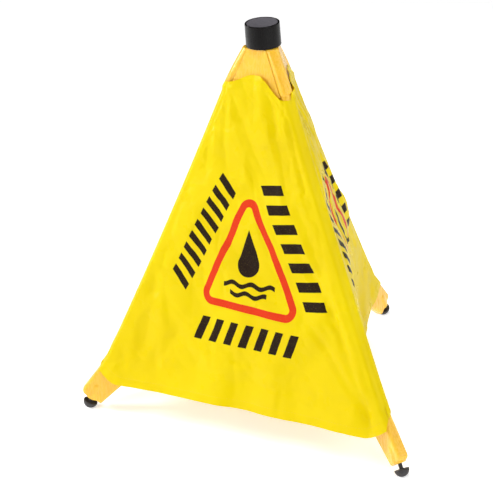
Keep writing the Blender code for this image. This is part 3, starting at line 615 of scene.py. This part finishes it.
def ridge_face(depth):
    """Face of the cover where it lies over a leg's nose."""
    along = np.clip((depth - SHAFT_START) / (SHAFT_END - SHAFT_START), 0, 1)
    shaft = SHAFT_FACE - SHAFT_BOW * 4 * along * (1 - along)
    shoe = SHOE_FACE + np.maximum(depth - SHOE_KINK, 0) * SHOE_SLOPE + SHOE_CLEAR
    return shaft + (shoe - shaft) * smooth(*SHOE_LAP, depth) + CLOTH_OUT


def over_shoulder(depth):
    """How much further out the cover lies where it covers a leg's shoulder."""
    along = np.clip((depth - SHOULDER_SWELL_START) / (SHAFT_START - SHOULDER_SWELL_START), 0, 1)
    face = SHOULDER_FACE + SHOULDER_SWELL * np.sin(along * math.pi / 2)
    share = smooth(SHAFT_START + SHOULDER_LAP[0], SHAFT_START + SHOULDER_LAP[1], depth)
    return (face - SHAFT_FACE - SHOULDER_HUG) * share


def ridge_radius(leg, height, shoulder=False):
    """Distance of the cover's ridge from the cone's axis at a height."""
    splay = leg_splay(leg)
    face = np.full_like(height, SHAFT_FACE)
    for _ in range(4):            # the face depends on the depth, and the depth a little on the face
        depth = (PIVOT_HEIGHT - height + face * math.sin(splay)) / math.cos(splay)
        face = ridge_face(depth) + (over_shoulder(depth) if shoulder else 0.0)
    return PIVOT_RADIUS + face * math.cos(splay) + depth * math.sin(splay)


def unit(azimuth):
    a = math.radians(azimuth)
    return np.array([math.cos(a), math.sin(a)])


def random_folds(seed):
    """Folds that fan out from the top of the cone."""
    draw = random.Random(seed)
    folds = []
    for _ in range(SIDE_FOLDS):
        lean = draw.uniform(-FAN_LEAN, FAN_LEAN)
        top = draw.uniform(*FOLD_TOPS)
        low = max(top - draw.uniform(*FOLD_DROPS), FOLD_LOWEST)
        wander = draw.uniform(-FOLD_WANDER, FOLD_WANDER)
        start = (lean * (FAN_HEIGHT - top), top)
        end = (lean * (FAN_HEIGHT - low) + wander, low)
        half_width = draw.uniform(*FOLD_HALF_WIDTHS)
        rise = draw.choice((-1, -1, 1)) * draw.uniform(*FOLD_RISES)
        folds.append((start, end, half_width, rise))
    return folds


FOLDS = {"front": FRONT_FOLDS, **{panel: random_folds(seed) for panel, seed in FOLD_SEEDS.items()}}


def fold_relief(panel, across, height):
    """How far a panel's folds stand out at each point."""
    relief = np.zeros_like(across)
    for start, end, half_width, rise in FOLDS[panel]:
        run = np.array(end) - np.array(start)
        length = np.hypot(*run)
        run = run / length
        along = (across - start[0]) * run[0] + (height - start[1]) * run[1]
        aside = (height - start[1]) * run[0] - (across - start[0]) * run[1]
        starts = smooth(FOLD_FADE_IN[0] * length, FOLD_FADE_IN[1] * length, along)
        stops = smooth(FOLD_FADE_OUT[0] * length, FOLD_FADE_OUT[1] * length, along)
        crest = np.maximum(1 - np.sqrt((aside / half_width) ** 2 + FOLD_SOFTNESS), 0)
        relief += rise * (starts * stops) * crest
    return relief


def crumple(panel, across, height):
    """Soft storage creases over the whole panel."""
    shift = 3.7 * list(PANELS).index(panel)
    relief = np.zeros(across.size)
    for i, (x, y) in enumerate(zip(across.ravel(), height.ravel())):
        wide = noise.noise(Vector((x * 16, y * 9, shift)))
        middle = noise.noise(Vector((x * 42, y * 20, shift + 11)))
        crease = 1 - abs(noise.noise(Vector((x * 30 + y * 9, y * 22, shift + 23)))) * 2
        sharp = CRUMPLE_SHARP * max(crease - CRUMPLE_SHARP_FROM, 0) / CRUMPLE_SHARP_SPAN
        relief[i] = CRUMPLE_WIDE * wide + CRUMPLE_MIDDLE * middle - sharp
    return relief.reshape(across.shape)


def settle(panel):
    """A panel's looseness by cloth simulation: how far it stands off its flat shape, on a grid.

    The panel is a little larger than the space between its legs, is held along the legs and at its top
    edge, and hangs free elsewhere, so that it buckles and sags as the real cover does.
    """
    reach = np.linspace(-1, 1, SETTLE_COLUMNS)
    height = np.linspace(TOP_HEIGHT, HEM_HEIGHT, SETTLE_ROWS)[:, None]
    legs_apart = (ridge_radius("rear_leg", height) - NOSE_DEEP) * math.sqrt(3) / 2
    across = reach * legs_apart
    down = (TOP_HEIGHT - height) / math.cos(SLOPE) + 0 * across
    points = np.stack([across, down, np.zeros_like(across)], -1)
    for i, (x, y) in enumerate(zip(across.ravel(), down.ravel())):
        seed = Vector((x * 25, y * 14, 5.0 * list(PANELS).index(panel)))
        points.reshape(-1, 3)[i, 2] = SETTLE_START * noise.noise(seed) * (1 - reach[i % SETTLE_COLUMNS] ** 8)
    piece = link("settling", mesh_grid("settling", points, points[..., :2]))
    held = piece.vertex_groups.new(name="held")
    held_columns = (0, 1, SETTLE_COLUMNS - 2, SETTLE_COLUMNS - 1)
    held.add([i for i in range(SETTLE_ROWS * SETTLE_COLUMNS)
              if i < SETTLE_COLUMNS or i % SETTLE_COLUMNS in held_columns], 1.0, "ADD")
    cloth = piece.modifiers.new("cloth", "CLOTH")
    settings = cloth.settings
    settings.quality = 6
    settings.mass = 0.12
    settings.tension_stiffness = 25
    settings.compression_stiffness = 25
    settings.shear_stiffness = 12
    settings.bending_stiffness = 0.12
    settings.vertex_group_mass = "held"
    settings.shrink_min = -SETTLE_SLACK
    settings.effector_weights.gravity = 0.0
    cloth.collision_settings.use_collision = False
    cloth.point_cache.frame_start = 1
    cloth.point_cache.frame_end = SETTLE_FRAMES
    for step in range(1, SETTLE_FRAMES + 1):
        bpy.context.scene.frame_set(step)
    apply_modifiers(piece)
    final = np.zeros(len(piece.data.vertices) * 3)
    piece.data.vertices.foreach_get("co", final)
    bpy.context.scene.frame_set(1)
    bpy.data.objects.remove(piece)
    stand_off = final.reshape(SETTLE_ROWS, SETTLE_COLUMNS, 3)[..., 2]
    return np.clip(stand_off, -SETTLE_LIMIT, SETTLE_LIMIT)


def settled_relief(panel, reach, height):
    """Reads a settled panel's grid at any point, smoothly between its cells."""
    if panel not in SETTLED:
        return np.zeros_like(height)
    grid = SETTLED[panel]
    row = np.clip((TOP_HEIGHT - height) / (TOP_HEIGHT - HEM_HEIGHT), 0, 1) * (SETTLE_ROWS - 1)
    column = (reach + 1) / 2 * (SETTLE_COLUMNS - 1)
    r = np.minimum(row.astype(int), SETTLE_ROWS - 2)
    c = np.minimum(column.astype(int), SETTLE_COLUMNS - 2)
    u = smooth(0, 1, row - r)
    v = smooth(0, 1, column - c)
    low = grid[r, c] * (1 - v) + grid[r, c + 1] * v
    high = grid[r + 1, c] * (1 - v) + grid[r + 1, c + 1] * v
    return low * (1 - u) + high * u


def cover_points(panel, side, reach, turn, height):
    """Points of the cover's outer side.

    reach is 0 on the panel's middle line and 1 where the cloth meets the leg's nose; turn then runs from
    0 to 1 round the nose to its ridge. side is -1 on the panel's left and 1 on its right.
    """
    azimuth, left_leg, right_leg = PANELS[panel]
    legs = {-1: left_leg, 1: right_leg}
    normal = unit(azimuth)
    centre_distance = 0.0
    for leg in legs.values():
        nose = ridge_radius(leg, height) - NOSE_DEEP
        centre_distance = centre_distance + 0.5 * (nose * 0.5 + NOSE_SUPPORT)
    tuck = smooth(*HEM_TUCK_HEIGHTS, height) * (1 - smooth(0.55, 1.0, reach)) * HEM_TUCK
    centre_distance = centre_distance - tuck
    radial = unit(azimuth + 60 * side)
    sideways = -side * unit(azimuth + 60 * side + 90)
    nose_centre = ridge_radius(legs[side], height, shoulder=True) - NOSE_DEEP
    angle = NOSE_TURN * (1 - turn)
    out = (nose_centre + NOSE_DEEP * np.cos(angle))[..., None] * radial
    leg_points = out + (NOSE_HALF * np.sin(angle))[..., None] * sideways
    middle_points = centre_distance[..., None] * normal
    flat = middle_points + (leg_points - middle_points) * reach[..., None]
    across = flat @ unit(azimuth + 90)
    free = smooth(*LEG_FADE, reach) * smooth(-0.02, 0.02, TOP_HEIGHT - height + 0.012)
    relief = fold_relief(panel, across, height) + crumple(panel, across, height)
    relief = (relief + settled_relief(panel, side * reach, height)) * free
    shoulder = SHOULDER_LIFT * smooth(*SHOULDER_HEIGHTS, height) * smooth(*SHOULDER_REACH, reach)
    shoulder = shoulder * smooth(*LEG_FADE, reach)
    hem = HEM_THICKER * smooth(HEM_WIDTH + 0.0012, HEM_WIDTH, height - hem_height(panel, side, reach, turn))
    slack = PANEL_SLACK[panel] * (1 - reach ** 3) * smooth(*SLACK_HEIGHTS, height)
    lift = relief + shoulder + hem - slack
    points = np.zeros(across.shape + (3,))
    points[..., :2] = flat + (lift * math.cos(SLOPE))[..., None] * normal + np.array(AXIS.xy)
    points[..., 2] = height + lift * math.sin(SLOPE)
    return points, across


def hem_height(panel, side, reach, turn):
    """Hem: level, rising beside a leg and round its nose. One corner of the right panel is pulled higher."""
    corner = HEM_PULLED if (panel, side) == ("right", -1) else HEM_CORNER
    rise = np.clip((reach - HEM_RISE_START) / HEM_RISE_SPAN, 0, 1) ** HEM_RISE_POWER
    return HEM_HEIGHT + (corner - HEM_HEIGHT) * rise + (HEM_RIDGE - corner) * turn


def top_height(panel, side, reach, turn):
    """Top edge: nearly level to the leg on a panel's left, sloping down to the sleeve on its right."""
    if side < 0:
        corner = TOP_CORNERS[panel]
        beside = TOP_HEIGHT - (TOP_HEIGHT - corner) * smooth(0.1, 1.0, reach)
        return beside - (corner - SLEEVE_TOP) * smooth(0.55, 1.0, turn)
    return TOP_HEIGHT - (TOP_HEIGHT - SLEEVE_TOP - SLEEVE_STEP) * smooth(0.22, 1.0, reach)


def leg_share(reach, height):
    """How far a point of the cover follows its leg: beside the hub's aprons only the nose does."""
    near_hub = smooth(*NEAR_HUB, height)
    start = 0.93 * near_hub
    end = 0.88 + 0.12 * near_hub
    return smooth(start, end, reach)


def mesh_grid(name, points, uv):
    """A grid of cells through the points, which keeps their panel coordinates as its UV map."""
    rows, columns = points.shape[:2]
    cells = [(r * columns + c, r * columns + c + 1, (r + 1) * columns + c + 1, (r + 1) * columns + c)
             for r in range(rows - 1) for c in range(columns - 1)]
    mesh = bpy.data.meshes.new(name)
    mesh.from_pydata(points.reshape(-1, 3).tolist(), [], cells)
    layer = mesh.uv_layers.new(name="panel")
    corners = np.zeros(len(mesh.loops), int)
    mesh.loops.foreach_get("vertex_index", corners)
    layer.data.foreach_set("uv", uv.reshape(-1, 2)[corners].astype(np.float32).ravel())
    mesh.shade_smooth()
    return mesh


def link(name, mesh, *materials):
    made = bpy.data.objects.new(name, mesh)
    for paint in materials:
        mesh.materials.append(paint)
    bpy.context.scene.collection.objects.link(made)
    return made


def store_share(piece, share):
    """Keeps on each point how far it follows its leg."""
    kept = piece.data.attributes.new("leg_share", "FLOAT", "POINT")
    kept.data.foreach_set("value", share.astype(np.float32).ravel())


def cross_joint(piece):
    """Bakes the piece's placement into its mesh and reads back each point's stored share of its leg."""
    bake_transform(piece)
    share = np.zeros(len(piece.data.vertices), np.float32)
    piece.data.attributes["leg_share"].data.foreach_get("value", share)


def apply_modifiers(piece):
    final = bpy.data.meshes.new_from_object(piece.evaluated_get(bpy.context.evaluated_depsgraph_get()))
    piece.modifiers.clear()
    piece.data = final


def stitch_mesh(name, centres, directions, out):
    """Threads: short round dashes along a seam. Each point keeps the number of its thread."""
    bm = bmesh.new()
    layer = bm.verts.layers.float.new("seam")
    for number, (centre, along) in enumerate(zip(centres, directions)):
        sideways = along.cross(out).normalized()
        rings = []
        for step, swell in THREAD_RINGS:
            ring = []
            for k in range(THREAD_SIDES):
                a = 2 * math.pi * k / THREAD_SIDES
                offset = (sideways * math.cos(a) + out * math.sin(a)) * (THREAD_RADIUS * swell)
                vert = bm.verts.new(centre + along * (THREAD_LENGTH * step) + offset)
                vert[layer] = number
                ring.append(vert)
            rings.append(ring)
        for low, high in zip(rings, rings[1:]):
            for k in range(THREAD_SIDES):
                after = (k + 1) % THREAD_SIDES
                bm.faces.new((low[k], low[after], high[after], high[k]))
        bm.faces.new(rings[0][::-1])
        bm.faces.new(rings[-1])
    mesh = bpy.data.meshes.new(name)
    bm.to_mesh(mesh)
    bm.free()
    mesh.shade_smooth()
    return mesh


def make_cover_half(name, panel, side, outside, inside):
    """One side of a panel as a thin sheet, from the panel's middle line to its leg's ridge."""
    flat_steps = np.linspace(0, 1, COVER_COLUMNS + 1) ** COLUMN_CROWDING
    reach = np.concatenate([flat_steps, np.ones(NOSE_COLUMNS)])
    turn = np.concatenate([np.zeros(COVER_COLUMNS + 1), np.linspace(0, 1, NOSE_COLUMNS + 1)[1:]])
    down = np.linspace(0, 1, COVER_ROWS + 1)[:, None]
    top = top_height(panel, side, reach, turn)[None, :]
    bottom = hem_height(panel, side, reach, turn)[None, :]
    height = top + (bottom - top) * down
    reach = np.broadcast_to(reach, height.shape)
    turn = np.broadcast_to(turn, height.shape)
    points, across = cover_points(panel, side, reach, turn, height)
    if side < 0:
        points, across, height, reach = (a[:, ::-1] for a in (points, across, height, reach))
    mesh = mesh_grid(name, points[::-1], np.stack([across, height], -1)[::-1])
    piece = link(name, mesh, outside, inside)
    store_share(piece, leg_share(reach, height)[::-1])
    shell = piece.modifiers.new("cloth", "SOLIDIFY")
    shell.thickness = CLOTH
    shell.offset = -1.0
    shell.material_offset = 1
    apply_modifiers(piece)
    piece.data.set_sharp_from_angle(angle=COVER_SHARP)
    cross_joint(piece)
    return piece


def make_stitches(name, panel, side, thread):
    """The row of stitching along the top of a half-panel's hem."""
    reach = np.arange(0.006, 0.985, STITCH_PITCH)
    turn = np.zeros_like(reach)
    height = hem_height(panel, side, reach, turn) + STITCH_ABOVE_HEM
    seam = [Vector(point) for point in cover_points(panel, side, reach, turn, height)[0]]
    out = Vector((*(unit(PANELS[panel][0]) * math.cos(SLOPE)), math.sin(SLOPE)))
    centres = [(start + end) / 2 for start, end in zip(seam, seam[1:])]
    directions = [(end - start).normalized() for start, end in zip(seam, seam[1:])]
    mesh_name = name.replace("stitches", "cover") + "_thread"
    mesh = stitch_mesh(mesh_name, centres, directions, out)
    stitches = link(name, mesh, thread)
    number = np.zeros(len(mesh.vertices), np.float32)
    mesh.attributes["seam"].data.foreach_get("value", number)
    store_share(stitches, leg_share(reach, height)[number.astype(int)])
    cross_joint(stitches)
    return stitches


def make_cover():
    outside = cover_material("cover_printed", True)
    inside = cover_material("cover_plain", False)
    for panel in PANELS:
        SETTLED[panel] = settle(panel)
    thread = moulded_material("thread", "thread", roughness=0.6, edge=0.0001, grain=4000.0, depth=0.0001)
    for panel, (_, left_leg, right_leg) in PANELS.items():
        for side, hand, leg in ((-1, "left", left_leg), (1, "right", right_leg)):
            piece = make_cover_half(f"cover_{panel}_{hand}", panel, side, outside, inside)
            stitches = make_stitches(f"stitches_{panel}_{hand}", panel, side, thread)
            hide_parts(f"{panel}_panel", "sleeve_" + leg.replace("_leg", ""))


# ---------------------------------------------------------------- moulded parts
def moulded_copy(node, body, paint):
    """A finely meshed copy of a CAD node, its edges softened as a mould leaves them."""
    cell, rounds = MOULDING[node.split("_")[0]]
    mesh = frame["nodes"][node].data.copy()
    mesh.name = node + "_moulded"
    mesh.materials.clear()
    piece = link(node + "_moulded", mesh, paint)
    remesh = piece.modifiers.new("remesh", "REMESH")
    remesh.mode = "VOXEL"
    remesh.voxel_size = cell
    soften = piece.modifiers.new("soften", "SMOOTH")
    soften.factor = 0.5
    soften.iterations = rounds
    apply_modifiers(piece)
    piece.data.shade_smooth()
    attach(piece, body)
    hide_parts(node)


def make_legs(plastic, rubber):
    for leg in LEGS:
        side = leg.replace("_leg", "")
        moulded_copy("leg_" + side, leg, plastic)
        moulded_copy("shoe_" + side, leg, plastic)
        moulded_copy("foot_" + side, leg, rubber)


def turned_piece(name, profile, paint, node):
    """A ring or solid on the hub, turned about the cone's axis from a closed (radius, height) outline."""
    bm = bmesh.new()
    rings = []
    for k in range(TURN_STEPS):
        a = 2 * math.pi * k / TURN_STEPS
        x, y = math.cos(a), math.sin(a)
        rings.append([bm.verts.new((AXIS.x + r * x, AXIS.y + r * y, z)) for r, z in profile])
    for k in range(TURN_STEPS):
        here, after = rings[k], rings[(k + 1) % TURN_STEPS]
        for i in range(len(profile)):
            j = (i + 1) % len(profile)
            bm.faces.new((here[i], here[j], after[j], after[i]))
    bmesh.ops.remove_doubles(bm, verts=bm.verts, dist=1e-7)
    bmesh.ops.recalc_face_normals(bm, faces=bm.faces)
    mesh = bpy.data.meshes.new(name)
    bm.to_mesh(mesh)
    bm.free()
    mesh.shade_smooth()
    mesh.set_sharp_from_angle(angle=TURNED_SHARP)
    piece = link(name, mesh, paint)
    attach(piece, "hub")
    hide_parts(node)


def round_corner(centre, radius, start, end):
    """Outline points round a corner, from one angle to another in degrees."""
    points = []
    for k in range(CORNER_STEPS + 1):
        a = math.radians(start + (end - start) * k / CORNER_STEPS)
        points.append((centre[0] + radius * math.cos(a), centre[1] + radius * math.sin(a)))
    return points


def make_cap(plastic):
    skirt = CAP_HIGH.x - AXIS.x
    top = CAP_HIGH.z
    bottom = CAP_LOW.z
    recess = top - CAP_RECESS_DEPTH
    sink = top - CAP_SINK_DEPTH
    ceiling = top - CAP_CEILING_DEPTH
    outline = [(CAP_BORE, bottom + 0.0003), (CAP_BORE + 0.0003, bottom)]
    outline += round_corner((skirt - SKIRT_ROUND, bottom + SKIRT_ROUND), SKIRT_ROUND, -90, 0)
    outline += [(skirt - 0.0001, bottom + 0.0035), (CAP_RIM + 0.0002, top - 0.0020)]
    outline += round_corner((CAP_RIM - 0.0007, top - RIM_ROUND), RIM_ROUND, 0, 90)
    outline += round_corner((CAP_LIP, top - LIP_ROUND), LIP_ROUND, 90, 180)
    outline += [(CAP_WELL, recess), (CAP_SINK, recess), (CAP_SINK, sink), (CAP_SCREW_HOLE, sink),
                (CAP_SCREW_HOLE, ceiling), (CAP_BORE, ceiling)]
    turned_piece("cap_shell", outline, plastic, "cap")


def make_disc(plastic):
    low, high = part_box("cap_disc")
    radius = high.x - AXIS.x
    outline = [(0.0, high.z - 0.0001), (radius - 0.0016, high.z - 0.0001), (radius - 0.0013, high.z)]
    outline += round_corner((radius - 0.0004, high.z - 0.0004), 0.0004, 90, 0)
    outline += [(radius, low.z), (0.0, low.z)]
    turned_piece("cap_insert", outline, plastic, "cap_disc")


def finish_small_parts(steel):
    """The pins, springs and screw stay as the CAD made them, in steel."""
    for name, node in frame["nodes"].items():
        if SLOTS.get(name) == "steel":
            node.data.materials.clear()
            node.data.materials.append(steel)
            node.data.shade_smooth()
            node.data.set_sharp_from_angle(angle=STEEL_SHARP)


make_camera()
make_light()
make_floor()
PLASTIC = moulded_material("moulded_orange", "plastic", roughness=0.27, edge=0.0006, grain=700.0,
                           depth=0.00012, light=0.12)
CAP_PLASTIC = moulded_material("cap_black", "cap", roughness=0.24, edge=0.0004, grain=1600.0, depth=0.00005,
                               shine=0.16)
DISC_PLASTIC = moulded_material("disc_grey", "disc", roughness=0.50, edge=0.0003, grain=2400.0, depth=0.0001)
RUBBER = moulded_material("rubber", "rubber", roughness=0.62, edge=0.0004, grain=1200.0, depth=0.0001)
make_cover()
moulded_copy("hub", "hub", PLASTIC)
make_cap(CAP_PLASTIC)
make_disc(DISC_PLASTIC)
make_legs(PLASTIC, RUBBER)
finish_small_parts(steel_material())
